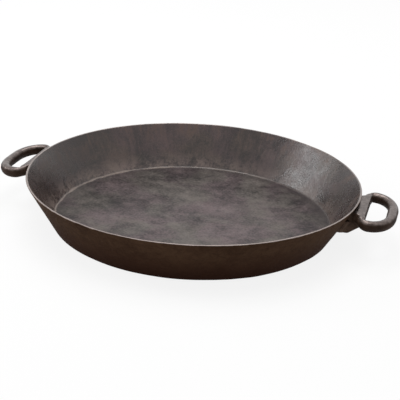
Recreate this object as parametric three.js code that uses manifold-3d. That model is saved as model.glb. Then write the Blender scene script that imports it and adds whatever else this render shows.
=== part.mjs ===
// A large round cast-iron frying pan with a flared wall and two fixed loop handles.
// Millimetres, +Z up. The origin is the middle of the underside, and the handles lie on +X and -X.

import * as THREE from 'three';
import { ParametricGeometry } from 'three/addons/geometries/ParametricGeometry.js';
import { mergeVertices } from 'three/addons/utils/BufferGeometryUtils.js';
import Module from 'manifold-3d';

const wasm = await Module();
wasm.setup();

// Bowl: radii and height are to the sharp corners, before they are rounded
const RIM_RADIUS = 254.9;
const HEIGHT = 71;
const BASE_RADIUS = 214.5;
const WALL_THICKNESS = 3;
const FLOOR_THICKNESS = 3;
const BASE_ROUND = 5;
const FLOOR_ROUND = 5;
const RIM_ROUND = 1.2;
const BOWL_FACETS = 128;

// Loop handle: an oval bar bent into a rounded rectangle, with a flat bridge along its wall side
const BAR_HALF_WIDTH = 7.6;
const BAR_HALF_HEIGHT = 8;
const BAR_INNER_HALF_WIDTH = 4.8;
const LOOP_INNER_X = 261.4;
const LOOP_OUTER_X = 302;
const LOOP_HALF_WIDTH = 57;
const LOOP_INNER_CORNER = 11.5;
const LOOP_OUTER_CORNER = [30, 45];
const LOOP_HEIGHT = 55.2;
const LOOP_DROOP = THREE.MathUtils.degToRad(3);
const LOOP_FACETS = 80;
const BAR_FACETS = 20;
const BRIDGE_OUTER_X = 266.5;
const BRIDGE_OUTER_HALF_WIDTH = 49;
const BRIDGE_SHOULDER_X = 259;
const BRIDGE_SHOULDER_HALF_WIDTH = 44;
const BRIDGE_NECK_X = 247;
const BRIDGE_NECK_HALF_WIDTH = 33.5;
const BRIDGE_NECK_ROUND = 8;
const BRIDGE_ROUND = 2.5;
const BRIDGE_PROUD = 0.2;

// Wall lug under the bridge: a thin pad on the wall and a gusset that reaches out to the loop
const LUG_BOTTOM = 28;
const LUG_FOOT_REACH = 14;
const LUG_OUTER_X = 260;
const LUG_TOE_HEIGHT = 39.5;
const LUG_HALF_WIDTH = 33;
const LUG_ROUND = 2;
const LUG_TOE_ROUND = 4;
const LUG_FOOT_ROUND = 8;
const PAD_THICKNESS = 4.5;
const PAD_HALF_WIDTH = 39;
const PAD_CORNER_ROUND = 8;

// Neighbouring pieces are kept this far apart
const SEAT_GAP = 0.3;

// Steps on every rounded corner and every rounded edge
const CORNER_STEPS = 5;
const EDGE_STEPS = 3;

// Points closer than this are one point
const MERGE_DISTANCE = 1e-4;

const IRON_METALNESS = 0.7;

const flare = Math.atan2(RIM_RADIUS - BASE_RADIUS, HEIGHT);
const lipWidth = WALL_THICKNESS / Math.cos(flare);
const wallRadius = (z) => BASE_RADIUS + z * Math.tan(flare);

const iron = (color, roughness) => new THREE.MeshStandardMaterial({
  color,
  roughness,
  metalness: IRON_METALNESS,
});
const bowlIron = iron(0x3b3633, 0.55);
const handleIron = iron(0x4a4441, 0.6);
const lugIron = iron(0x3f3833, 0.65);

// Corners are [x, y, round]; each round corner becomes an arc that touches both of its sides.
function roundedOutline(corners) {
  const points = [];
  corners.forEach(([x, y, round = 0], i) => {
    const corner = new THREE.Vector2(x, y);
    if (round === 0) {
      points.push(corner);
      return;
    }
    const [beforeX, beforeY] = corners.at(i - 1);
    const [afterX, afterY] = corners[(i + 1) % corners.length];
    const toBefore = new THREE.Vector2(beforeX, beforeY).sub(corner).normalize();
    const toAfter = new THREE.Vector2(afterX, afterY).sub(corner).normalize();
    const halfAngle = Math.acos(toBefore.dot(toAfter)) / 2;
    const bisector = toBefore.clone().add(toAfter).normalize();
    const centre = corner.clone().addScaledVector(bisector, round / Math.sin(halfAngle));
    const start = corner.clone().addScaledVector(toBefore, round / Math.tan(halfAngle));
    const turn = Math.sign(toAfter.cross(toBefore)) * (Math.PI - 2 * halfAngle);
    for (let step = 0; step <= CORNER_STEPS; step += 1) {
      points.push(start.clone().rotateAround(centre, (turn * step) / CORNER_STEPS));
    }
  });
  return points;
}

function solid(geometry) {
  const bare = geometry.index ? geometry.toNonIndexed() : geometry.clone();
  bare.deleteAttribute('normal');
  bare.deleteAttribute('uv');
  const merged = mergeVertices(bare, MERGE_DISTANCE);
  const triangles = [];
  const index = merged.index.array;
  for (let i = 0; i < index.length; i += 3) {
    const [a, b, c] = index.subarray(i, i + 3);
    if (a !== b && b !== c && c !== a) {
      triangles.push(a, b, c);
    }
  }
  return new wasm.Manifold(new wasm.Mesh({
    numProp: 3,
    vertProperties: new Float32Array(merged.attributes.position.array),
    triVerts: new Uint32Array(triangles),
  }));
}

function geometryOf(manifold) {
  const mesh = manifold.getMesh();
  const geometry = new THREE.BufferGeometry();
  geometry.setAttribute('position', new THREE.BufferAttribute(mesh.vertProperties, 3));
  geometry.setIndex(new THREE.BufferAttribute(mesh.triVerts, 1));
  geometry.computeVertexNormals();
  return geometry;
}

const turned = (outline) => new THREE.LatheGeometry(outline, BOWL_FACETS).rotateX(Math.PI / 2);

// The bowl is one revolved profile: underside, wall, rim, inside of the wall, floor.
function bowlGeometry() {
  return turned(roundedOutline([
    [0, 0],
    [BASE_RADIUS, 0, BASE_ROUND],
    [RIM_RADIUS, HEIGHT, RIM_ROUND],
    [RIM_RADIUS - lipWidth, HEIGHT, RIM_ROUND],
    [wallRadius(FLOOR_THICKNESS) - lipWidth, FLOOR_THICKNESS, FLOOR_ROUND],
    [0, FLOOR_THICKNESS],
  ]));
}

// A solid cone that follows the outer wall at a distance, used to seat the handles on the wall.
function coneOutsideWall(distance) {
  const offset = distance / Math.cos(flare);
  return solid(turned([
    new THREE.Vector2(0, 0),
    new THREE.Vector2(wallRadius(0) + offset, 0),
    new THREE.Vector2(wallRadius(HEIGHT) + offset, HEIGHT),
    new THREE.Vector2(0, HEIGHT),
  ]));
}

// Pieces built level about the loop's inner side are tipped down by the droop.
function droop(geometry) {
  return geometry
    .translate(-LOOP_INNER_X, 0, 0)
    .rotateY(LOOP_DROOP)
    .translate(LOOP_INNER_X, 0, LOOP_HEIGHT);
}

// A flat outline given an even thickness about its own plane, with rounded edges.
function plate(outline, thickness, round) {
  const depth = thickness - 2 * round;
  const shape = new THREE.Shape(roundedOutline(outline));
  const geometry = new THREE.ExtrudeGeometry(shape, {
    depth,
    bevelThickness: round,
    bevelSize: round,
    bevelOffset: -round,
    bevelSegments: EDGE_STEPS,
  });
  return geometry.translate(0, 0, -depth / 2);
}

// The bar's middle line in plan: two wide corners, two tight ones and the sides between them.
function loopLine() {
  const quarter = Math.PI / 2;
  const [outerReachX, outerReachY] = LOOP_OUTER_CORNER;
  const outerX = LOOP_OUTER_X - outerReachX;
  const outerY = LOOP_HALF_WIDTH - outerReachY;
  const innerX = LOOP_INNER_X + LOOP_INNER_CORNER;
  const innerY = LOOP_HALF_WIDTH - LOOP_INNER_CORNER;
  return new THREE.Path()
    .absellipse(outerX, -outerY, outerReachX, outerReachY, -quarter, 0)
    .absellipse(outerX, outerY, outerReachX, outerReachY, 0, quarter)
    .absarc(innerX, innerY, LOOP_INNER_CORNER, quarter, 2 * quarter)
    .absarc(innerX, -innerY, LOOP_INNER_CORNER, 2 * quarter, 3 * quarter)
    .closePath();
}

// The bar is slimmer along its inner side, where it runs into the bridge.
function barHalfWidth(x) {
  const past = THREE.MathUtils.smoothstep(x, LOOP_INNER_X, LOOP_INNER_X + LOOP_INNER_CORNER);
  return THREE.MathUtils.lerp(BAR_INNER_HALF_WIDTH, BAR_HALF_WIDTH, past);
}

function loopGeometry() {
  const line = loopLine();
  const surface = (around, along, target) => {
    const middle = line.getPointAt(along % 1);
    const tangent = line.getTangentAt(along % 1);
    const section = around * 2 * Math.PI;
    const outward = barHalfWidth(middle.x) * Math.cos(section);
    target.set(
      middle.x + tangent.y * outward,
      middle.y - tangent.x * outward,
      -BAR_HALF_HEIGHT * Math.sin(section),
    );
  };
  return droop(new ParametricGeometry(surface, BAR_FACETS, LOOP_FACETS));
}

// The flat bridge fills the wall side of the loop and narrows to a neck at the wall.
function bridgeGeometry() {
  const half = [
    [wallRadius(0), BRIDGE_NECK_HALF_WIDTH],
    [BRIDGE_NECK_X, BRIDGE_NECK_HALF_WIDTH, BRIDGE_NECK_ROUND],
    [BRIDGE_SHOULDER_X, BRIDGE_SHOULDER_HALF_WIDTH],
    [BRIDGE_OUTER_X, BRIDGE_OUTER_HALF_WIDTH],
  ];
  const outline = [...half.map(([x, y, round]) => [x, -y, round]), ...half.toReversed()];
  return droop(plate(outline, 2 * (BAR_HALF_HEIGHT + BRIDGE_PROUD), BRIDGE_ROUND));
}

function loopHandleGeometry() {
  const handle = solid(loopGeometry()).add(solid(bridgeGeometry()));
  return geometryOf(handle.subtract(coneOutsideWall(SEAT_GAP)));
}

// Height of the lug's top at x: just under the drooping bridge.
function lugTop(x) {
  const underBridge = (BAR_HALF_HEIGHT + BRIDGE_PROUD + SEAT_GAP) / Math.cos(LOOP_DROOP);
  return LOOP_HEIGHT - (x - LOOP_INNER_X) * Math.tan(LOOP_DROOP) - underBridge;
}

function wallLugGeometry() {
  const insideWall = wallRadius(0);
  const footX = wallRadius(LUG_BOTTOM) + LUG_FOOT_REACH;
  const sideView = [
    [insideWall, LUG_BOTTOM],
    [footX, LUG_BOTTOM, LUG_FOOT_ROUND],
    [LUG_OUTER_X, LUG_TOE_HEIGHT, LUG_TOE_ROUND],
    [LUG_OUTER_X, lugTop(LUG_OUTER_X)],
    [insideWall, lugTop(insideWall)],
  ];
  const gusset = solid(plate(sideView, 2 * LUG_HALF_WIDTH, LUG_ROUND).rotateX(Math.PI / 2));
  const padTop = lugTop(wallRadius(HEIGHT));
  const padFace = new THREE.Shape(roundedOutline([
    [-PAD_HALF_WIDTH, LUG_BOTTOM, PAD_CORNER_ROUND],
    [PAD_HALF_WIDTH, LUG_BOTTOM, PAD_CORNER_ROUND],
    [PAD_HALF_WIDTH, padTop],
    [-PAD_HALF_WIDTH, padTop],
  ]));
  const padBlock = new THREE.ExtrudeGeometry(padFace, { depth: RIM_RADIUS, bevelEnabled: false });
  padBlock.rotateX(Math.PI / 2).rotateZ(Math.PI / 2);
  const pad = solid(padBlock).intersect(coneOutsideWall(SEAT_GAP + PAD_THICKNESS));
  return geometryOf(gusset.add(pad).subtract(coneOutsideWall(SEAT_GAP)));
}

function piece(name, geometry, material) {
  const mesh = new THREE.Mesh(geometry, material);
  mesh.name = name;
  return mesh;
}

const pan = new THREE.Group();
pan.add(piece('pan_bowl', bowlGeometry(), bowlIron));

for (const [side, turn] of [['right', 0], ['left', Math.PI]]) {
  const handle = new THREE.Group();
  handle.rotation.z = turn;
  handle.add(piece(`${side}_wall_lug`, wallLugGeometry(), lugIron));
  handle.add(piece(`${side}_loop_handle`, loopHandleGeometry(), handleIron));
  pan.add(handle);
}

export default pan;
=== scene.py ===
# %% [markdown]
# # A large cast-iron frying pan
#
# The pan is old seasoned iron: one wide bowl, and on each side a loop handle that grows out of a
# lug on the wall. The CAD model already holds the right sizes, so it is loaded first, as a frame
# that nothing may move. Each of its five pieces then gets a finer skin, with the soft corners and
# the slightly uneven surface of a sand casting, and a finish made only of nodes.

import itertools
import math

import bpy
import numpy as np
from mathutils import Euler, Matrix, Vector, noise


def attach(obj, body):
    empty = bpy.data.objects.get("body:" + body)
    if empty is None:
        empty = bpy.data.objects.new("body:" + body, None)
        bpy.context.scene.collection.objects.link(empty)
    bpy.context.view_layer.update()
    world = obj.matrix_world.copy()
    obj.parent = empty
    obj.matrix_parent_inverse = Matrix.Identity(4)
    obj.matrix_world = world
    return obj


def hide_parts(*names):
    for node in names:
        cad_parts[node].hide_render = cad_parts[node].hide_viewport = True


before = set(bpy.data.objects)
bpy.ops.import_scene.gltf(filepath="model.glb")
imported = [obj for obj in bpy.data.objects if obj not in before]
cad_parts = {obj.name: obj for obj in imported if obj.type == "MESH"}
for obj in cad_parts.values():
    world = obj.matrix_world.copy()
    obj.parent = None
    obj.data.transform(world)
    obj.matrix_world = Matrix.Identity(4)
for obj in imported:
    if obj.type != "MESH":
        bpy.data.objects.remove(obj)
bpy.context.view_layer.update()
MM = 0.001
print("CAD pieces:", ", ".join(sorted(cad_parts)))

# %% [markdown]
# ## The line of the bowl
#
# A cast bowl is a wall of even thickness turned about an axis. One line describes all of it: from
# the middle of the underside out to the base corner, up the outside, over the rim, and down the
# inside to the middle of the floor. Its corners are written as sharp ones with a rounding radius,
# the way a pattern maker would draw them, and a small function turns each into an arc.

# %% Draw the line
RIM_CORNER_RADIUS = 254.9 * MM
BASE_CORNER_RADIUS = 214.5 * MM
BOWL_HEIGHT = 71 * MM
WALL_THICKNESS = 3 * MM
FLOOR_THICKNESS = 3 * MM
BASE_ROUND = 5 * MM
FLOOR_ROUND = 5 * MM
RIM_ROUND = 1.2 * MM
ARC_STEPS = 8

flare = math.atan2(RIM_CORNER_RADIUS - BASE_CORNER_RADIUS, BOWL_HEIGHT)
lip_width = WALL_THICKNESS / math.cos(flare)


def wall_radius(height):
    """Radius of the outside of the wall at a height above the ground."""
    return BASE_CORNER_RADIUS + height * math.tan(flare)


def rounded_corners(corners):
    """Points along (across, up, round) corners, where a corner with a round becomes an arc."""
    points = []
    for i, (across, up, bend) in enumerate(corners):
        corner = Vector((across, up))
        if bend == 0:
            points.append(corner)
            continue
        to_last = (Vector(corners[i - 1][:2]) - corner).normalized()
        to_next = (Vector(corners[(i + 1) % len(corners)][:2]) - corner).normalized()
        half_angle = to_last.angle(to_next) / 2
        centre = corner + (to_last + to_next).normalized() * (bend / math.sin(half_angle))
        reach = bend / math.tan(half_angle)
        first, last = (corner + way * reach - centre for way in (to_last, to_next))
        shares = [step / ARC_STEPS for step in range(ARC_STEPS + 1)]
        points += [centre + first.lerp(last, share).normalized() * bend for share in shares]
    return np.array(points)


bowl_line = rounded_corners([
    (0, 0, 0),
    (BASE_CORNER_RADIUS, 0, BASE_ROUND),
    (RIM_CORNER_RADIUS, BOWL_HEIGHT, RIM_ROUND),
    (RIM_CORNER_RADIUS - lip_width, BOWL_HEIGHT, RIM_ROUND),
    (wall_radius(FLOOR_THICKNESS) - lip_width, FLOOR_THICKNESS, FLOOR_ROUND),
    (0, FLOOR_THICKNESS, 0),
])
print(f"bowl line: {len(bowl_line)} points, wall flares by {math.degrees(flare):.1f} degrees")

# %% [markdown]
# ## Turning the bowl
#
# A Screw modifier could turn the line. It is turned in code here, because each point can then carry
# how far along the line it lies from the rim: below zero outside, above zero inside. The finish
# needs only that one number to know where rim, wall, floor corner and floor are.

# %% Turn the line about the upright axis
BOWL_FACETS = 288
POINT_SPACING = 3 * MM
RIM_TOLERANCE = 0.001 * MM


def filled_in(points, spacing):
    """The same line with more points, none further from the next than spacing."""
    line = [points[:1]]
    for start, end in zip(points, points[1:]):
        count = math.ceil(np.linalg.norm(end - start) / spacing)
        line.append(start + np.arange(1, count + 1)[:, None] / count * (end - start))
    return np.concatenate(line)


def turned(line):
    """Points and faces of the closed body that a line makes when it turns about Z."""
    angle = np.arange(BOWL_FACETS) * 2 * np.pi / BOWL_FACETS
    rings = np.empty((len(line) - 2, BOWL_FACETS, 3))
    rings[..., 0] = line[1:-1, :1] * np.cos(angle)
    rings[..., 1] = line[1:-1, :1] * np.sin(angle)
    rings[..., 2] = line[1:-1, 1:]
    bottom, top = ([[0, 0, line[end, 1]]] for end in (0, -1))
    points = np.concatenate([bottom, rings.reshape(-1, 3), top])
    index = 1 + np.arange(rings[..., 0].size).reshape(rings.shape[:2])
    beside = np.roll(index, -1, axis=1)
    quads = np.stack([index[:-1], beside[:-1], beside[1:], index[1:]], -1).reshape(-1, 4)
    middle = len(points) - 1
    fans = [(0, b, a) for a, b in zip(index[0], beside[0])]
    fans += [(middle, a, b) for a, b in zip(index[-1], beside[-1])]
    return points, quads.tolist() + fans


bowl_line = filled_in(bowl_line, POINT_SPACING)
bowl_points, bowl_faces = turned(bowl_line)

along = np.concatenate([[0], np.cumsum(np.linalg.norm(np.diff(bowl_line, axis=0), axis=1))])
from_rim = along - along[bowl_line[:, 1] > BOWL_HEIGHT - RIM_TOLERANCE].mean()
from_rim = np.concatenate([from_rim[:1], np.repeat(from_rim[1:-1], BOWL_FACETS), from_rim[-1:]])
print(f"bowl: {len(bowl_points)} points, {from_rim.max() / MM:.0f} mm from the rim to the middle")

# %% [markdown]
# ## The skin of a sand casting
#
# Sand gives way a little when iron is poured, so nothing on the pan is quite flat. A Displace
# modifier with a cloud texture would do that. Here each point moves along its own normal by a
# smooth noise, in a function that all pieces share, so that the underside can be kept from
# sinking into the table.

# %% Make pieces and roughen them
def cast_piece(name, points, faces):
    """A smooth-shaded piece from points in metres, in the frame of the CAD."""
    mesh = bpy.data.meshes.new(name)
    mesh.from_pydata(points, [], faces)
    mesh.shade_smooth()
    piece = bpy.data.objects.new(name, mesh)
    bpy.context.scene.collection.objects.link(piece)
    return piece


def roughen(piece, lump_size, depth, seed):
    """Moves each point along its normal by noise: lumps of about that size, up to that depth."""
    mesh = piece.data
    points, normals = np.empty((2, len(mesh.vertices), 3), np.float32)
    mesh.vertices.foreach_get("co", points.ravel())
    mesh.vertex_normals.foreach_get("vector", normals.ravel())
    shift = Vector((seed, seed, seed))
    lumps = np.array([noise.noise(Vector(point) / lump_size + shift) for point in points])
    points += normals * (depth * lumps)[:, None]
    np.maximum(points[:, 2], 0, out=points[:, 2])
    mesh.vertices.foreach_set("co", points.ravel())
    mesh.update()


bowl = cast_piece("bowl_casting", bowl_points, bowl_faces)
roughen(bowl, lump_size=55 * MM, depth=0.5 * MM, seed=3)
roughen(bowl, lump_size=14 * MM, depth=0.12 * MM, seed=7)
bowl.data.attributes.new("from_rim", "FLOAT", "POINT").data.foreach_set("value", from_rim)
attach(bowl, "root")
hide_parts("pan_bowl")
print("bowl casting in mm:", [round(value / MM, 1) for value in bowl.dimensions])

# %% [markdown]
# ## Solids as distances
#
# The handles have no sharp edge anywhere: bar, bridge and lug flow into each other with the small
# fillets that a moulder smears into every inside corner. Booleans and bevels break down on such
# meetings. A distance field doesn't: for any point it says how far the iron is, negative inside,
# and two fields blend with a fillet of any size.

# %% Blend and thicken distances
def blended(first, second, fillet):
    """Two distance fields as one, with a fillet of about that size where they meet."""
    share = np.clip(0.5 + 0.5 * (second - first) / fillet, 0, 1)
    return second + (first - second) * share - fillet * share * (1 - share)


def thickened(flat, across, rounding):
    """A flat outline's distance and the distance past its thickness, as a solid's distance."""
    outside = np.hypot(np.maximum(flat, 0), np.maximum(across, 0))
    return outside + np.minimum(np.maximum(flat, across), 0) - rounding


def from_outline(outline, across, up):
    """Distance from points of a plane to a closed outline, negative inside it."""
    nearest = np.full(np.broadcast(across, up).shape, np.inf)
    inside = np.zeros(nearest.shape, bool)
    for (x0, y0), (x1, y1) in zip(outline, np.roll(outline, -1, axis=0)):
        dx, dy = x1 - x0, y1 - y0
        share = ((across - x0) * dx + (up - y0) * dy) / (dx * dx + dy * dy)
        share = np.clip(share, 0, 1)
        nearest = np.minimum(nearest, np.hypot(across - x0 - share * dx, up - y0 - share * dy))
        crossing = (y0 > up) != (y1 > up)
        inside ^= crossing & ((across - x0) * dy * np.sign(dy) < (up - y0) * dx * np.sign(dy))
    return np.where(inside, -nearest, nearest)


square = np.array([(-1, -1), (1, -1), (1, 1), (-1, 1)])
print("middle of a square, two wide:", from_outline(square, np.zeros(1), np.zeros(1))[0])

# %% [markdown]
# ## A surface on a grid
#
# A field becomes faces on a grid: each cell that the surface crosses gets one point, the points of
# neighbouring cells are joined, and every point then slides down the slope of the field onto the
# surface. The Volume to Mesh node works in a like way. In code the slides come on top, and they
# keep the bar smooth on a grid of moderate size.

# %% Mesh a distance field
SLIDES = 4


def in_grid(values, spots):
    """Values of a grid at spots between its points, mixed from the eight points around."""
    low = np.clip(spots.astype(int), 0, np.array(values.shape[:3]) - 2)
    part = spots - low
    total = 0
    for corner in itertools.product((0, 1), repeat=3):
        weight = np.prod(np.where(corner, part, 1 - part), axis=-1)
        found = values[tuple((low + corner).T)]
        total = total + (weight * found.T).T
    return total


def surface_of(distance, low, high, cell):
    """Points and faces where a distance field is zero, between two corners of its own frame."""
    axes = [np.arange(start, end + cell, cell) for start, end in zip(low, high)]
    field = distance(*np.meshgrid(*axes, indexing="ij"))
    iron = field < 0
    parts = [iron[tuple(slice(c, c - 1 or None) for c in corner)]
             for corner in itertools.product((0, 1), repeat=3)]
    crossed = np.any(parts, axis=0) & ~np.all(parts, axis=0)
    number = np.full(crossed.shape, -1)
    number[crossed] = np.arange(crossed.sum())
    faces = []
    for axis in range(3):
        order = [(axis + turn) % 3 for turn in range(3)]
        solid, cells = iron.transpose(order), number.transpose(order)
        i, j, k = np.nonzero(solid[1:, 1:-1, 1:-1] != solid[:-1, 1:-1, 1:-1])
        quads = np.stack([cells[i, j, k], cells[i, j + 1, k],
                          cells[i, j + 1, k + 1], cells[i, j, k + 1]], -1)
        inwards = ~solid[i, j + 1, k + 1]
        quads[inwards] = quads[inwards, ::-1]
        faces.append(quads)
    slope = np.stack(np.gradient(field), -1)
    spots = np.argwhere(crossed) + 0.5
    for _ in range(SLIDES):
        steep = in_grid(slope, spots)
        away = in_grid(field, spots) / np.sum(steep * steep, axis=-1)
        spots -= np.clip(away[:, None] * steep, -1, 1)
    return np.array(low) + spots * cell, np.concatenate(faces)


ball_points, ball_faces = surface_of(
    lambda x, y, z: np.sqrt(x * x + y * y + z * z) - 1, (-2, -2, -2), (2, 2, 2), 0.5)
print(f"a ball as a test: {len(ball_points)} points, {len(ball_faces)} faces")

# %% [markdown]
# ## The line of the loop
#
# Seen from above, the grip is a rounded rectangle for a whole hand: two wide corners at the far
# side and two tight ones next to the bowl. A curve object with a bevel would draw such a bar. It is
# kept as a plain row of points here, because the distance field needs only the nearest of them.

# %% Lay the points of the bar's middle line
LOOP_INNER_X = 261.4 * MM
LOOP_OUTER_X = 302 * MM
LOOP_HALF_WIDTH = 57 * MM
LOOP_INNER_CORNER = (11.5 * MM, 11.5 * MM)
LOOP_OUTER_CORNER = (30 * MM, 45 * MM)
LINE_SPACING = 0.4 * MM
CORNER_STEPS = 40


def quarter_bend(corner, reach, start):
    """Points of a quarter ellipse that touches both sides of a corner, from an angle onwards."""
    angle = start + np.linspace(0, np.pi / 2, CORNER_STEPS)
    direction = np.stack([np.cos(angle), np.sin(angle)], axis=-1)
    inwards = -np.sign(np.round(direction.sum(axis=0), 6)) * reach
    return np.array(corner) + inwards + direction * reach


loop_half = np.concatenate([
    quarter_bend((LOOP_OUTER_X, LOOP_HALF_WIDTH), LOOP_OUTER_CORNER, 0),
    quarter_bend((LOOP_INNER_X, LOOP_HALF_WIDTH), LOOP_INNER_CORNER, np.pi / 2),
])
loop_line = filled_in(np.concatenate([loop_half[::-1] * (1, -1), loop_half]), LINE_SPACING)
print(f"loop line: {len(loop_line)} points")

# %% [markdown]
# ## The bridge
#
# A flat bridge fills the side of the loop next to the bowl and narrows to a neck that stands on the
# wall. Half of its outline is written as corners and mirrored. Loop and bridge are drawn in a level
# plane of their own and tipped down at the end, by the droop of the real handle. Where the neck
# ends, the cone of the wall is one more distance.

# %% Outline of the bridge
NECK_X = 247 * MM
NECK_HALF_WIDTH = 33.5 * MM
NECK_ROUND = 6 * MM
SHOULDER_X = 259 * MM
SHOULDER_HALF_WIDTH = 44 * MM
BRIDGE_OUTER_X = 266.5 * MM
BRIDGE_OUTER_HALF_WIDTH = 48 * MM
LOOP_HEIGHT = 55.2 * MM
LOOP_DROOP = math.radians(3)

half_bridge = [
    (BASE_CORNER_RADIUS, NECK_HALF_WIDTH, 0),
    (NECK_X, NECK_HALF_WIDTH, NECK_ROUND),
    (SHOULDER_X, SHOULDER_HALF_WIDTH, 0),
    (BRIDGE_OUTER_X, BRIDGE_OUTER_HALF_WIDTH, 0),
]
bridge_outline = rounded_corners(
    [(x, -y, bend) for x, y, bend in half_bridge] + half_bridge[::-1])


def outside_wall(x, y, z):
    """How far a point lies outside the middle of the bowl's wall."""
    middle = wall_radius(z) - lip_width / 2
    return (np.hypot(x, y) - middle) * math.cos(flare)


def drooped(x, z):
    """From the loop's level plane to the frame of the pan."""
    out, up = x - LOOP_INNER_X, z
    return (LOOP_INNER_X + out * math.cos(LOOP_DROOP) + up * math.sin(LOOP_DROOP),
            LOOP_HEIGHT - out * math.sin(LOOP_DROOP) + up * math.cos(LOOP_DROOP))


print(f"bridge outline: {len(bridge_outline)} points")

# %% [markdown]
# ## The loop handle
#
# The bar slims where it runs into the bridge, which leaves a notch on each side of the neck. Bar
# and bridge are blended while both are still flat outlines, which rounds the corners of the hole
# and the notches, and then thickened as one: nearly round along the bar, flat with a tighter edge
# on the bridge. Along the middle runs the faint ridge that the two halves of the mould leave.

# %% Distance of the loop and its bridge
BAR_HALF_WIDTH = 7.6 * MM
BAR_INNER_HALF_WIDTH = 4.8 * MM
BAR_HALF_HEIGHT = 8 * MM
BAR_ROUND = 7.2 * MM
BRIDGE_ROUND = 2.6 * MM
BRIDGE_SIDE = (42 * MM, 54 * MM)
HOLE_FILLET = 5 * MM
NOTCH_FILLET = 2 * MM
CHANGE_LENGTH = 4 * MM
RIDGE_HEIGHT = 0.3 * MM
RIDGE_WIDTH = 0.9 * MM
HANDLE_CELL = 0.8 * MM
HANDLE_LOW = (236 * MM, -68 * MM, -11.2 * MM)
HANDLE_HIGH = (313 * MM, 68 * MM, 11.2 * MM)


def eased(value, start, end):
    """0 before the start, 1 past the end and a smooth step between them."""
    share = np.clip((value - start) / (end - start), 0, 1)
    return share * share * (3 - 2 * share)


def handle_distance(x, y, z):
    """Distance to the loop with its bridge, with z up from the middle of the bar."""
    flat_x, flat_y = x[:, :, 0], y[:, :, 0]
    corner_end = LOOP_INNER_X + LOOP_INNER_CORNER[0]
    loop = np.full(flat_x.shape, np.inf)
    for line_x, line_y in loop_line:
        slim = 1 - eased(line_x, LOOP_INNER_X, corner_end)
        half_width = BAR_HALF_WIDTH + (BAR_INNER_HALF_WIDTH - BAR_HALF_WIDTH) * slim
        loop = np.minimum(loop, np.hypot(flat_x - line_x, flat_y - line_y) - half_width)
    bridge = from_outline(bridge_outline, flat_x, flat_y)
    fillet = np.interp(flat_x, (LOOP_INNER_X - CHANGE_LENGTH, LOOP_INNER_X),
                       (NOTCH_FILLET, HOLE_FILLET))
    plan = blended(loop, bridge, fillet)[..., None]
    on_bar = np.maximum(eased(flat_x, LOOP_INNER_X, corner_end + CHANGE_LENGTH),
                        eased(np.abs(flat_y), *BRIDGE_SIDE))[..., None]
    rounding = BRIDGE_ROUND + (BAR_ROUND - BRIDGE_ROUND) * on_bar
    solid = thickened(plan + rounding, np.abs(z) - (BAR_HALF_HEIGHT - rounding), rounding)
    solid = solid - RIDGE_HEIGHT * np.exp(-((z / RIDGE_WIDTH) ** 2))
    pan_x, pan_z = drooped(x, z)
    return np.maximum(solid, -outside_wall(pan_x, y, pan_z))


handle_points, handle_faces = surface_of(
    handle_distance, HANDLE_LOW, HANDLE_HIGH, HANDLE_CELL)
handle_points[:, 0], handle_points[:, 2] = drooped(handle_points[:, 0], handle_points[:, 2])
print(f"loop handle: {len(handle_points)} points, {len(handle_faces)} faces")

# %% [markdown]
# ## The wall lug
#
# Under the bridge a gusset carries the load into the wall, and a thin pad spreads it. On the pan
# the gusset juts from the wall, then slopes up to the underside of the loop. Its side view is an
# outline thickened across; the pad is a rounded rectangle wrapped on the wall, so its thickness is
# measured from the wall's own surface. The two are blended like the handle.

# %% Distance of the lug
LUG_BOTTOM = 28 * MM
LUG_TOP = 47.5 * MM
LUG_FOOT_REACH = 14 * MM
LUG_OUTER_X = 260 * MM
LUG_TOE_HEIGHT = 39.5 * MM
LUG_HALF_WIDTH = 33 * MM
LUG_ROUND = 2 * MM
LUG_FOOT_ROUND = 6 * MM
LUG_TOE_ROUND = 2 * MM
PAD_THICKNESS = 4.5 * MM
PAD_HALF_WIDTH = 39 * MM
PAD_CORNER_ROUND = 8 * MM
PAD_EDGE_ROUND = 1.5 * MM
LUG_FILLET = 4 * MM
LUG_CELL = 0.8 * MM
LUG_LOW = (222 * MM, -43 * MM, 24 * MM)
LUG_HIGH = (266 * MM, 43 * MM, 49 * MM)

foot_x = wall_radius(LUG_BOTTOM) + LUG_FOOT_REACH
gusset_outline = rounded_corners([
    (BASE_CORNER_RADIUS, LUG_BOTTOM + LUG_ROUND, 0),
    (foot_x - LUG_ROUND, LUG_BOTTOM + LUG_ROUND, LUG_FOOT_ROUND),
    (LUG_OUTER_X - LUG_ROUND, LUG_TOE_HEIGHT + LUG_ROUND, LUG_TOE_ROUND),
    (LUG_OUTER_X - LUG_ROUND, LUG_TOP - LUG_ROUND, 0),
    (BASE_CORNER_RADIUS, LUG_TOP - LUG_ROUND, 0),
])
pad_side = PAD_HALF_WIDTH - PAD_EDGE_ROUND
pad_bottom = LUG_BOTTOM + PAD_EDGE_ROUND
pad_outline = rounded_corners([
    (-pad_side, pad_bottom, PAD_CORNER_ROUND),
    (pad_side, pad_bottom, PAD_CORNER_ROUND),
    (pad_side, LUG_TOP, 0),
    (-pad_side, LUG_TOP, 0),
])


def lug_distance(x, y, z):
    """Distance to the gusset and its pad."""
    side = from_outline(gusset_outline, x[:, 0], z[:, 0])[:, None]
    gusset = thickened(side, np.abs(y) - (LUG_HALF_WIDTH - LUG_ROUND), LUG_ROUND)
    face = from_outline(pad_outline, y[0], z[0])
    from_wall = outside_wall(x, y, z) - WALL_THICKNESS / 2
    pad = thickened(face, from_wall - (PAD_THICKNESS - PAD_EDGE_ROUND), PAD_EDGE_ROUND)
    return np.maximum(blended(gusset, pad, LUG_FILLET), -outside_wall(x, y, z))


lug_points, lug_faces = surface_of(lug_distance, LUG_LOW, LUG_HIGH, LUG_CELL)
print(f"wall lug: {len(lug_points)} points, {len(lug_faces)} faces")

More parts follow.
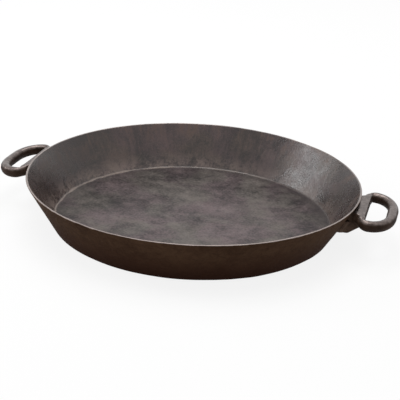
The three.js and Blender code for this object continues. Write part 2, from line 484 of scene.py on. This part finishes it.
# %% [markdown]
# ## Both sides
#
# The pan has the same lug and the same handle on both sides, half a turn apart. The points are
# turned before they are roughened, so the two sides share their form and differ in their skin,
# as two pours from one pattern do.

# %% Place a lug and a handle on each side
SIDE_TURNS = {"right": np.array([1, 1, 1]), "left": np.array([-1, -1, 1])}
handles, lugs = [], []
for number, (side, turn) in enumerate(SIDE_TURNS.items()):
    handle = cast_piece(f"{side}_loop_casting", handle_points * turn, handle_faces.tolist())
    lug = cast_piece(f"{side}_lug_casting", lug_points * turn, lug_faces.tolist())
    for piece in (handle, lug):
        roughen(piece, lump_size=24 * MM, depth=0.12 * MM, seed=11 + number)
        roughen(piece, lump_size=5 * MM, depth=0.03 * MM, seed=17 + number)
        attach(piece, "root")
    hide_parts(f"{side}_loop_handle")
    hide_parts(f"{side}_wall_lug")
    handles.append(handle)
    lugs.append(lug)
    print(side, "handle in mm:", [round(value / MM, 1) for value in handle.dimensions])

# %% [markdown] ## A small kit for nodes  In the shader editor a finish is a web of nodes. Colours
# are written as a picture shows them, from 0 to 255, and turned into the values that a shader
# takes.

# %% Node kit
def shade(red, green, blue):
    """A colour as a picture shows it, turned into the linear values that shaders use."""
    linear = [((v / 255 + 0.055) / 1.055) ** 2.4 if v > 10 else v / 255 / 12.92
              for v in (red, green, blue)]
    return (*linear, 1)


class NodeKit:
    """A material in the making. Each method adds nodes and returns their output."""

    def __init__(self, name):
        self.material = bpy.data.materials.new(name)
        self.material.use_nodes = True
        self.nodes = self.material.node_tree.nodes
        self.shader = self.nodes["Principled BSDF"]

    def feed(self, socket, value):
        """Links an output to a socket, or sets the socket's own value."""
        if isinstance(value, bpy.types.NodeSocket):
            self.material.node_tree.links.new(value, socket)
        else:
            socket.default_value = value

    def add(self, kind, inputs=None, **settings):
        """A node of a kind, with its settings set and its inputs fed."""
        node = self.nodes.new(kind)
        for name, value in settings.items():
            setattr(node, name, value)
        for name, value in (inputs or {}).items():
            self.feed(node.inputs[name], value)
        return node

    def math(self, operation, first, second=0.0):
        """One or two numbers worked on by a Math node."""
        return self.add("ShaderNodeMath", {0: first, 1: second}, operation=operation).outputs[0]

    def vector(self, operation, first, second=(0, 0, 0)):
        """One or two places or directions worked on by a Vector Math node."""
        made = self.add("ShaderNodeVectorMath", {0: first, 1: second}, operation=operation)
        return made.outputs[0]

    def product(self, first, *others):
        """Several shares multiplied together."""
        for other in others:
            first = self.math("MULTIPLY", first, other)
        return first

    def summed(self, *parts):
        """Several noises added up, each by its own share."""
        total = 0.0
        for value, share in parts:
            total = self.math("ADD", total, self.product(value, share))
        return total

    def coat(self, **sockets):
        """Feeds the shader's sockets by name and returns the finished material."""
        for name, value in sockets.items():
            self.feed(self.shader.inputs[name.replace("_", " ")], value)
        return self.material


grey = [round(value, 3) for value in shade(100, 92, 92)[:3]]
print("node kit ready; a middle grey for a shader:", grey)

# %% [markdown] ## Noise in layers  Every finish on the pan is layered noise: broad clouds of wear,
# finer mottling, and the grain of the sand. Image textures could be painted for it, but noise has
# no seams and needs no unwrapping.

# %% Finish kit
class Finish(NodeKit):
    """A finish of noise that is read in the pan's own frame, shifted for each material."""

    def __init__(self, name, shift=0.0):
        super().__init__(name)
        self.place = self.add("ShaderNodeTexCoord").outputs["Object"]
        self.noise_place = self.vector("ADD", self.place, (shift, shift, shift))

    def clouds(self, size, detail=3, swirl=0.0, place=None):
        """Soft noise with features of about that size in metres."""
        return self.add("ShaderNodeTexNoise", {
            "Vector": place or self.noise_place,
            "Scale": 1 / size,
            "Detail": detail,
            "Distortion": swirl,
        }).outputs["Fac"]

    def spread(self, value, low, high, to_low=0.0, to_high=1.0):
        """A value between low and high, eased out to a new range and held at its ends."""
        return self.add("ShaderNodeMapRange", {
            "Value": value,
            "From Min": low,
            "From Max": high,
            "To Min": to_low,
            "To Max": to_high,
        }, interpolation_type="SMOOTHSTEP").outputs["Result"]

    def mix(self, share, first, second):
        """Two colours mixed by a share from 0 to 1."""
        node = self.add("ShaderNodeMix", data_type="RGBA")
        for socket, value in zip((node.inputs[0], *node.inputs[6:8]), (share, first, second)):
            self.feed(socket, value)
        return node.outputs[2]

    def bump(self, height, depth, below=None):
        """A fine relief of that depth in metres, on top of an earlier one."""
        inputs = {"Height": height, "Distance": depth}
        if below:
            inputs["Normal"] = below
        return self.add("ShaderNodeBump", inputs).outputs["Normal"]

    def rim_distance(self):
        """How far a point of the bowl lies from the rim, below zero outside."""
        return self.add("ShaderNodeAttribute", attribute_name="from_rim").outputs["Fac"]


print("finish kit ready:", [name for name in vars(Finish) if not name.startswith("_")])

# %% [markdown]
# ## Wear inside the bowl
#
# Years of oil and scraping have left the inside cloudy, in patches of every size. Painting it by
# hand would be one way; here it is noise again, and this cell collects what the recipes draw on.
# The streaks run from rim to floor because their noise is read around the bowl and hardly along
# its height. The specks are drawn out along the strokes of a cloth. The grey leans to violet in
# some places and to green in others, as old seasoning does.

# %% Noises of the inside
STREAK_RISE = 0.9
STREAK_WIDTH = 0.02
WIPING_STROKE = (1, 0.5, 1)


class InnerFinish(Finish):
    """A finish with the noises that the wall and the floor of the bowl draw on."""

    def __init__(self, name, shift):
        super().__init__(name, shift)
        self.from_rim = self.rim_distance()
        split = self.add("ShaderNodeSeparateXYZ", {0: self.place}).outputs
        self.across = split[0]
        level = self.add("ShaderNodeCombineXYZ", {0: split[0], 1: split[1]}).outputs[0]
        rise = self.add("ShaderNodeCombineXYZ", {2: self.product(split[2], STREAK_RISE)}).outputs[0]
        around = self.vector("ADD", self.vector("NORMALIZE", level), rise)
        wiped = self.vector("MULTIPLY", self.noise_place, WIPING_STROKE)

        self.broad = self.clouds(110 * MM, detail=2, swirl=0.6)
        self.patches = self.clouds(42 * MM, detail=2, swirl=1.0)
        self.fine = self.clouds(11 * MM, swirl=0.6)
        self.speck = self.clouds(3 * MM, detail=2, place=wiped)
        self.streaks = self.clouds(STREAK_WIDTH, detail=4, place=around)
        self.tint = self.spread(self.clouds(60 * MM, detail=2), 0.4, 0.6)

    def tinted(self, tone, violet, green):
        """A tone from a dark to a light shade, in two tints that change from place to place."""
        return self.mix(self.tint, self.mix(tone, *violet), self.mix(tone, *green))


print("noises ready; streaks repeat about", round(2 * math.pi / STREAK_WIDTH), "times around")

# %% [markdown]
# ## Colour of the wall
#
# The wall is darker than the floor. Next to the handles it carries painted shade, a dark brown
# mixed over it; it is a touch rusty under the rim, and dusty above the corner of the floor. Each of
# these is a share from 0 to 1, made of a place and a noise, that mixes one more colour over the
# last.

# %% Colour of the wall
CORNER_FROM_RIM = 79 * MM
PAINTED_SHADE_ACROSS = (170 * MM, 235 * MM)
PAINTED_SHADE = shade(34, 22, 19)
RUST_FROM_RIM = (45 * MM, 4 * MM)
RUST = shade(84, 62, 48)
DUST_HEIGHT = 30 * MM
DUST = shade(136, 120, 112)


def wall_colour(f):
    """Streaked grey, with painted shade by the handles, rusty under the rim and dusty above the
    corner.
    """
    tone = f.summed((f.broad, 0.27), (f.patches, 0.27), (f.streaks, 0.18), (f.fine, 0.1),
                    (f.speck, 0.18))
    colour = f.tinted(f.spread(tone, 0.33, 0.67),
                      violet=(shade(25, 14, 15), shade(92, 73, 72)),
                      green=(shade(25, 16, 13), shade(91, 74, 67)))

    # Painted shade: the wall is darkened with a dark brown near both handles.
    shade_by_handle = f.spread(f.math("ABSOLUTE", f.across), *PAINTED_SHADE_ACROSS)
    colour = f.mix(f.product(shade_by_handle, 0.65), colour, PAINTED_SHADE)

    under_rim = f.spread(f.from_rim, *RUST_FROM_RIM)
    blotch = f.spread(f.summed((f.patches, 0.6), (f.streaks, 0.4)), 0.5, 0.66)
    colour = f.mix(f.product(under_rim, blotch, 0.6), colour, RUST)

    above_corner = f.spread(f.from_rim, CORNER_FROM_RIM - DUST_HEIGHT, CORNER_FROM_RIM)
    dust = f.spread(f.summed((f.patches, 0.5), (f.fine, 0.25), (f.speck, 0.25)), 0.38, 0.6)
    most_on_left = f.spread(f.across, 80 * MM, -60 * MM, 0.3, 0.75)
    return f.mix(f.product(above_corner, dust, most_on_left), colour, DUST)


print(f"corner of the floor: {CORNER_FROM_RIM / MM:.0f} mm from the rim")

# %% [markdown]
# ## Colour of the floor
#
# The floor is a lighter, cloudier grey, in soft wisps with fine flecks. Its corner is darkened with
# painted shade, mostly on the right. A picture of worn iron would repeat across so wide a floor.
# Noise doesn't, and clouds of each size can be weighed until the contrast is right at that size.

# %% Colour of the floor
CORNER_SHADE_REACH = 26 * MM
PAINTED_CORNER_SHADE = shade(44, 36, 36)


def floor_colour(f):
    """Cloudy grey, with painted shade in the corner."""
    wisps = f.clouds(30 * MM, detail=4, swirl=0.3)
    flecks = f.clouds(3.4 * MM, detail=2)
    tone = f.summed((f.broad, 0.27), (wisps, 0.37), (f.fine, 0.12), (flecks, 0.24))
    colour = f.tinted(f.spread(tone, 0.34, 0.67),
                      violet=(shade(21, 13, 14), shade(110, 95, 96)),
                      green=(shade(21, 16, 14), shade(104, 96, 91)))
    # Painted shade: the floor is darkened next to its corner, most on the right.
    past_corner = f.spread(f.from_rim, CORNER_FROM_RIM + CORNER_SHADE_REACH, CORNER_FROM_RIM)
    to_right = f.spread(f.across, -100 * MM, 200 * MM, 0.4, 0.75)
    return f.mix(f.product(past_corner, to_right), colour, PAINTED_CORNER_SHADE)


# How far the painted shade in the corner reaches in.
print(f"grime reaches {CORNER_SHADE_REACH / MM:.0f} mm in from the corner")

# %% [markdown]
# ## Iron inside the bowl
#
# On the left the corner of the floor carries a painted highlight, and the lip is worn bright, in a
# ragged line. One recipe makes two materials, because the shine is one number for a whole shader:
# the oiled wall is glossier than the scraped floor. Both hold both colours, so the border between
# them can't be seen.

# %% Finish inside the bowl
RUBBED_RIM = shade(158, 146, 141)
PAINTED_CORNER_HIGHLIGHT = shade(150, 135, 126)
LIP_REACH = 0.7 * MM
LIP_RAGGEDNESS = 1.4 * MM
LIP_FADE = 0.6 * MM


def rim_rub(f, rim_distance, breakup):
    """A share that is 1 on the lip and fades out raggedly on both of its sides."""
    reach = f.math("ADD", f.product(breakup, LIP_RAGGEDNESS), LIP_REACH)
    past_lip = f.math("SUBTRACT", f.math("ABSOLUTE", rim_distance), reach)
    return f.spread(past_lip, LIP_FADE, -LIP_FADE)


def inner_iron(name, shine, roughness, grit_size, grit_depth, shift):
    """The iron inside the bowl, from the lip to the middle of the floor."""
    f = InnerFinish(name, shift)
    is_floor = f.spread(f.from_rim, CORNER_FROM_RIM - 6 * MM, CORNER_FROM_RIM + 2 * MM)
    colour = f.mix(is_floor, wall_colour(f), floor_colour(f))

    # Painted highlight: a bright ragged line along the corner of the floor, strongest on the left.
    off_corner = f.math("ABSOLUTE", f.math("SUBTRACT", f.from_rim, CORNER_FROM_RIM))
    ragged = f.product(off_corner, f.spread(f.patches, 0.35, 0.6, 1.3, 0.5))
    on_corner = f.spread(ragged, 2 * MM, 0.4 * MM)
    to_left = f.spread(f.across, 200 * MM, -120 * MM)
    pale_with_painted_light = f.product(on_corner, to_left, f.spread(f.patches, 0.3, 0.55, 0.3), 0.65)
    colour = f.mix(pale_with_painted_light, colour, PAINTED_CORNER_HIGHLIGHT)

    lip = f.product(rim_rub(f, f.from_rim, f.fine), f.spread(f.broad, 0.35, 0.65, 0.35))
    return f.coat(
        Base_Color=f.mix(lip, colour, RUBBED_RIM),
        Metallic=f.product(lip, 0.5),
        Roughness=f.spread(f.summed((f.patches, 0.5), (f.fine, 0.5)), 0.35, 0.65, *roughness),
        Specular_IOR_Level=shine,
        Normal=f.bump(f.fine, 0.1 * MM, f.bump(f.clouds(grit_size, detail=2), grit_depth)),
    )


wall_iron = inner_iron("oiled_wall_iron", shine=0.55, roughness=(0.2, 0.36),
                       grit_size=2.6 * MM, grit_depth=0.3 * MM, shift=5.18)
floor_iron = inner_iron("scraped_floor_iron", shine=0.22, roughness=(0.34, 0.5),
                        grit_size=3 * MM, grit_depth=0.14 * MM, shift=2.59)
print("inner irons:", wall_iron.name, floor_iron.name)

# %% [markdown]
# ## Iron outside the bowl
#
# The fire side is brown and quite dull: burnt oil takes all the shine away, and the brown is darker
# towards the base. Its faces are those whose distance from the rim is below zero. The outer and the
# inner iron share the worn lip, so no seam shows between them.

# %% Finish outside the bowl
DARKER_FROM_RIM = (-15 * MM, -85 * MM)
f = Finish("burnt_outer_iron")
rim_distance = f.rim_distance()
broad = f.clouds(80 * MM, detail=4, swirl=1.0)
fine = f.clouds(11 * MM, detail=5, swirl=0.8)
speck = f.clouds(2.6 * MM)
burnt_tone = f.spread(f.summed((broad, 0.45), (fine, 0.35), (speck, 0.2)), 0.36, 0.64)
upper_colour = f.mix(burnt_tone, shade(51, 35, 25), shade(68, 50, 37))
near_base = f.spread(rim_distance, *DARKER_FROM_RIM)
burnt_colour = f.mix(near_base, upper_colour, shade(52, 32, 24))
lip = rim_rub(f, rim_distance, fine)
outer_iron = f.coat(
    Base_Color=f.mix(lip, burnt_colour, RUBBED_RIM),
    Metallic=f.product(lip, 0.5),
    Roughness=f.spread(lip, 0, 1, 0.75, 0.45),
    Specular_IOR_Level=0.02,
    Normal=f.bump(fine, 0.6 * MM, f.bump(speck, 0.15 * MM)),
)
for material in (outer_iron, wall_iron, floor_iron):
    bowl.data.materials.append(material)
for face in bowl.data.polygons:
    furthest = max(from_rim[corner] for corner in face.vertices)
    face.material_index = int(furthest > 0) + int(furthest > CORNER_FROM_RIM)
print("outer iron:", len(f.nodes), "nodes")

# %% [markdown]
# ## Iron of the handles and lugs
#
# Hands and cloths wear the tops of the loops to a soft grey, and the paler grey on every face that
# points up, on the lugs too, is also painted top light. The sides and everything below are burnt
# dark, and rusty brown near the wall, which on the neck of the handle is also a painted fill light
# in its shade. The way a face points tells top from side: the normal's upward part is a mask,
# broken up by a little noise so that it has no clean border. The pale iron counts as bare metal, so
# the lamps draw soft lines along the bar.

# %% Finish of the handles and lugs
BREAKUP_MIDDLE = 0.25
NEAR_WALL_ACROSS = (266 * MM, 254 * MM)
BURNT_SIDES = (shade(37, 26, 19), shade(55, 41, 33))
SIDES_AND_FILL_NEAR_WALL = (shade(60, 46, 38), shade(86, 69, 58))


def handled_iron(name, pale_top_start, pale_top_end, pale_with_painted_light):
    """Burnt iron, browner near the wall with a painted fill light on the handle's neck, and worn
    grey with painted top light where its faces point up.
    """
    f = Finish(name)
    upward = f.add("ShaderNodeSeparateXYZ", {
        0: f.add("ShaderNodeNewGeometry").outputs["Normal"]}).outputs[2]
    blotches = f.clouds(22 * MM, detail=4, swirl=0.8)
    mottle = f.clouds(6 * MM, detail=4)
    grain = f.clouds(1.6 * MM, detail=2)
    # Painted top light: faces that point up get the pale shades, partly worn grey and partly
    # painted light.
    broken = f.summed((upward, 1), (blotches, 0.25), (mottle, 0.2), (grain, 0.05))
    wear_and_top_light = f.spread(broken, BREAKUP_MIDDLE + pale_top_start, BREAKUP_MIDDLE + pale_top_end)
    across = f.add("ShaderNodeSeparateXYZ", {0: f.place}).outputs[0]
    # Painted fill light: near the wall the sides get the lug's own lighter brown, which on the neck
    # of the handle lifts its shade.
    near_wall = f.spread(f.math("ABSOLUTE", across), *NEAR_WALL_ACROSS)
    side_tone = f.spread(blotches, 0.35, 0.65)
    side_colour = f.mix(
        near_wall, f.mix(side_tone, *BURNT_SIDES), f.mix(side_tone, *SIDES_AND_FILL_NEAR_WALL))
    top_colour = f.mix(f.spread(mottle, 0.3, 0.7), *pale_with_painted_light)
    return f.coat(
        Base_Color=f.mix(wear_and_top_light, side_colour, top_colour),
        Metallic=f.product(wear_and_top_light, 0.9),
        Roughness=f.spread(wear_and_top_light, 0, 1, 0.6, 0.26),
        Specular_IOR_Level=0.08,
        Normal=f.bump(mottle, 0.04 * MM, f.bump(grain, 0.02 * MM)),
    )


handle_finish = handled_iron(
    "rubbed_handle_iron", 0.35, 0.95,
    pale_with_painted_light=(shade(88, 79, 76), shade(118, 108, 104)))
# On the lug the pale shades of faces that point up are painted top light.
lug_finish = handled_iron(
    "brown_lug_iron", 0.5, 1.0,
    pale_with_painted_light=(shade(90, 78, 71), shade(112, 100, 93)))
for pieces, finish in ((handles, handle_finish), (lugs, lug_finish)):
    for piece in pieces:
        piece.data.materials.append(finish)
print("handle and lug finishes:", handle_finish.name, lug_finish.name)

# %% [markdown]
# ## Floor and sky
#
# The pan stands on a plain pale floor under a dim white sky. What the camera and the reflections
# see of the sky is plain white, and the floor glows to them too, though not fully, so that it keeps
# a soft shadow. It lies a hair below the pan, so that no two faces share a plane.

# %% Floor and sky
GROUND_RADIUS = 9.0
GROUND_FACETS = 96
GROUND_DROP = 0.2 * MM
GROUND_GLOW = 0.85
SKY_LIGHT = 0.5
WHITE = (1, 1, 1, 1)
scene = bpy.context.scene
scene.view_settings.view_transform = "Standard"


def seen_directly(tree):
    """A share that is 1 for what the camera, a reflection or glass sees, and 0 for plain light."""
    rays = tree.nodes.new("ShaderNodeLightPath").outputs
    share = rays["Is Camera Ray"]
    for ray in ("Is Glossy Ray", "Is Transmission Ray"):
        either = tree.nodes.new("ShaderNodeMath")
        either.operation = "MAXIMUM"
        tree.links.new(share, either.inputs[0])
        tree.links.new(rays[ray], either.inputs[1])
        share = either.outputs[0]
    return share


def mixed_shaders(tree, share, first, second, end):
    """Feeds an output node with two shaders mixed by a share."""
    choice = tree.nodes.new("ShaderNodeMixShader")
    for socket, output in zip(choice.inputs, (share, first, second)):
        tree.links.new(output, socket)
    tree.links.new(choice.outputs[0], end.inputs["Surface"])


bpy.ops.mesh.primitive_circle_add(
    vertices=GROUND_FACETS, radius=GROUND_RADIUS, fill_type="NGON")
ground = bpy.context.object
ground.name = "pale_floor"
ground.location.z = -GROUND_DROP
paper = NodeKit("pale_paper")
ground.data.materials.append(paper.coat(
    Base_Color=shade(250, 250, 250), Roughness=0.9, Specular_IOR_Level=0.0))
paper_tree = paper.material.node_tree
glow = paper.add("ShaderNodeEmission", {"Color": WHITE, "Strength": 1.0})
glow_share = paper.product(seen_directly(paper_tree), GROUND_GLOW)
mixed_shaders(paper_tree, glow_share, paper.shader.outputs[0], glow.outputs[0],
              paper.nodes["Material Output"])

sky = bpy.data.worlds.new("studio_sky")
scene.world = sky
sky.use_nodes = True
light, seen = (sky.node_tree.nodes.new("ShaderNodeBackground") for _ in range(2))
light.inputs["Strength"].default_value = SKY_LIGHT
for background in (light, seen):
    background.inputs["Color"].default_value = WHITE
mixed_shaders(sky.node_tree, seen_directly(sky.node_tree), light.outputs[0], seen.outputs[0],
              sky.node_tree.nodes["World Output"])
print("floor:", ground.name, "sky light:", SKY_LIGHT)

# %% [markdown]
# ## Lamps
#
# A wide lamp overhead and one behind give soft, even light. Two small lamps low on the left show as
# satin spots on the right of the inner wall. Sun lamps would draw hard edges, so all four are area
# lamps.

# %% Lamps
def soft_lamp(name, place, side, power):
    """A square area lamp that faces the pan."""
    lamp = bpy.data.lights.new(name, "AREA")
    lamp.size = side
    lamp.energy = power
    holder = bpy.data.objects.new(name, lamp)
    holder.location = place
    holder.rotation_mode = "QUATERNION"
    holder.rotation_quaternion = (-Vector(place)).to_track_quat("-Z", "Y")
    scene.collection.objects.link(holder)


soft_lamp("top_lamp", (-0.4, 0.3, 3.2), side=2.4, power=44)
soft_lamp("back_lamp", (-0.3, 1.7, 2.4), side=1.2, power=14)
soft_lamp("low_lamp", (-1.74, 0.4, 0.56), side=0.45, power=2.8)
soft_lamp("side_lamp", (-1.64, -0.16, 0.89), side=0.5, power=5.0)

# %% [markdown]
# ## Camera
#
# The photograph is taken from a little above the table, with the right handle turned slightly
# towards the lens. Distance, direction and lens come from fitting the circles of rim and base; the
# small tilt places the pan in the frame and leans it as the photograph does.

# %% Set up the camera
CAMERA_DISTANCE = 1.54868
CAMERA_AROUND = math.radians(15.006)
CAMERA_UP = math.radians(23.429)
CAMERA_TILT = Euler([math.radians(turn) for turn in (1.010, -0.438, 2.891)])
CAMERA_LENS = 89.703

back = Vector((
    math.sin(CAMERA_AROUND) * math.cos(CAMERA_UP),
    -math.cos(CAMERA_AROUND) * math.cos(CAMERA_UP),
    math.sin(CAMERA_UP),
))
camera = bpy.data.objects.new("camera", bpy.data.cameras.new("camera"))
camera.data.lens = CAMERA_LENS
camera.location = back * CAMERA_DISTANCE
camera.rotation_mode = "QUATERNION"
camera.rotation_quaternion = (-back).to_track_quat("-Z", "Y") @ CAMERA_TILT.to_quaternion()
scene.collection.objects.link(camera)
scene.camera = camera
print("camera at", [round(value, 3) for value in camera.location])

# %% [markdown]
# ## Sizes at the end
#
# The finer skin must not change the size of the pan.
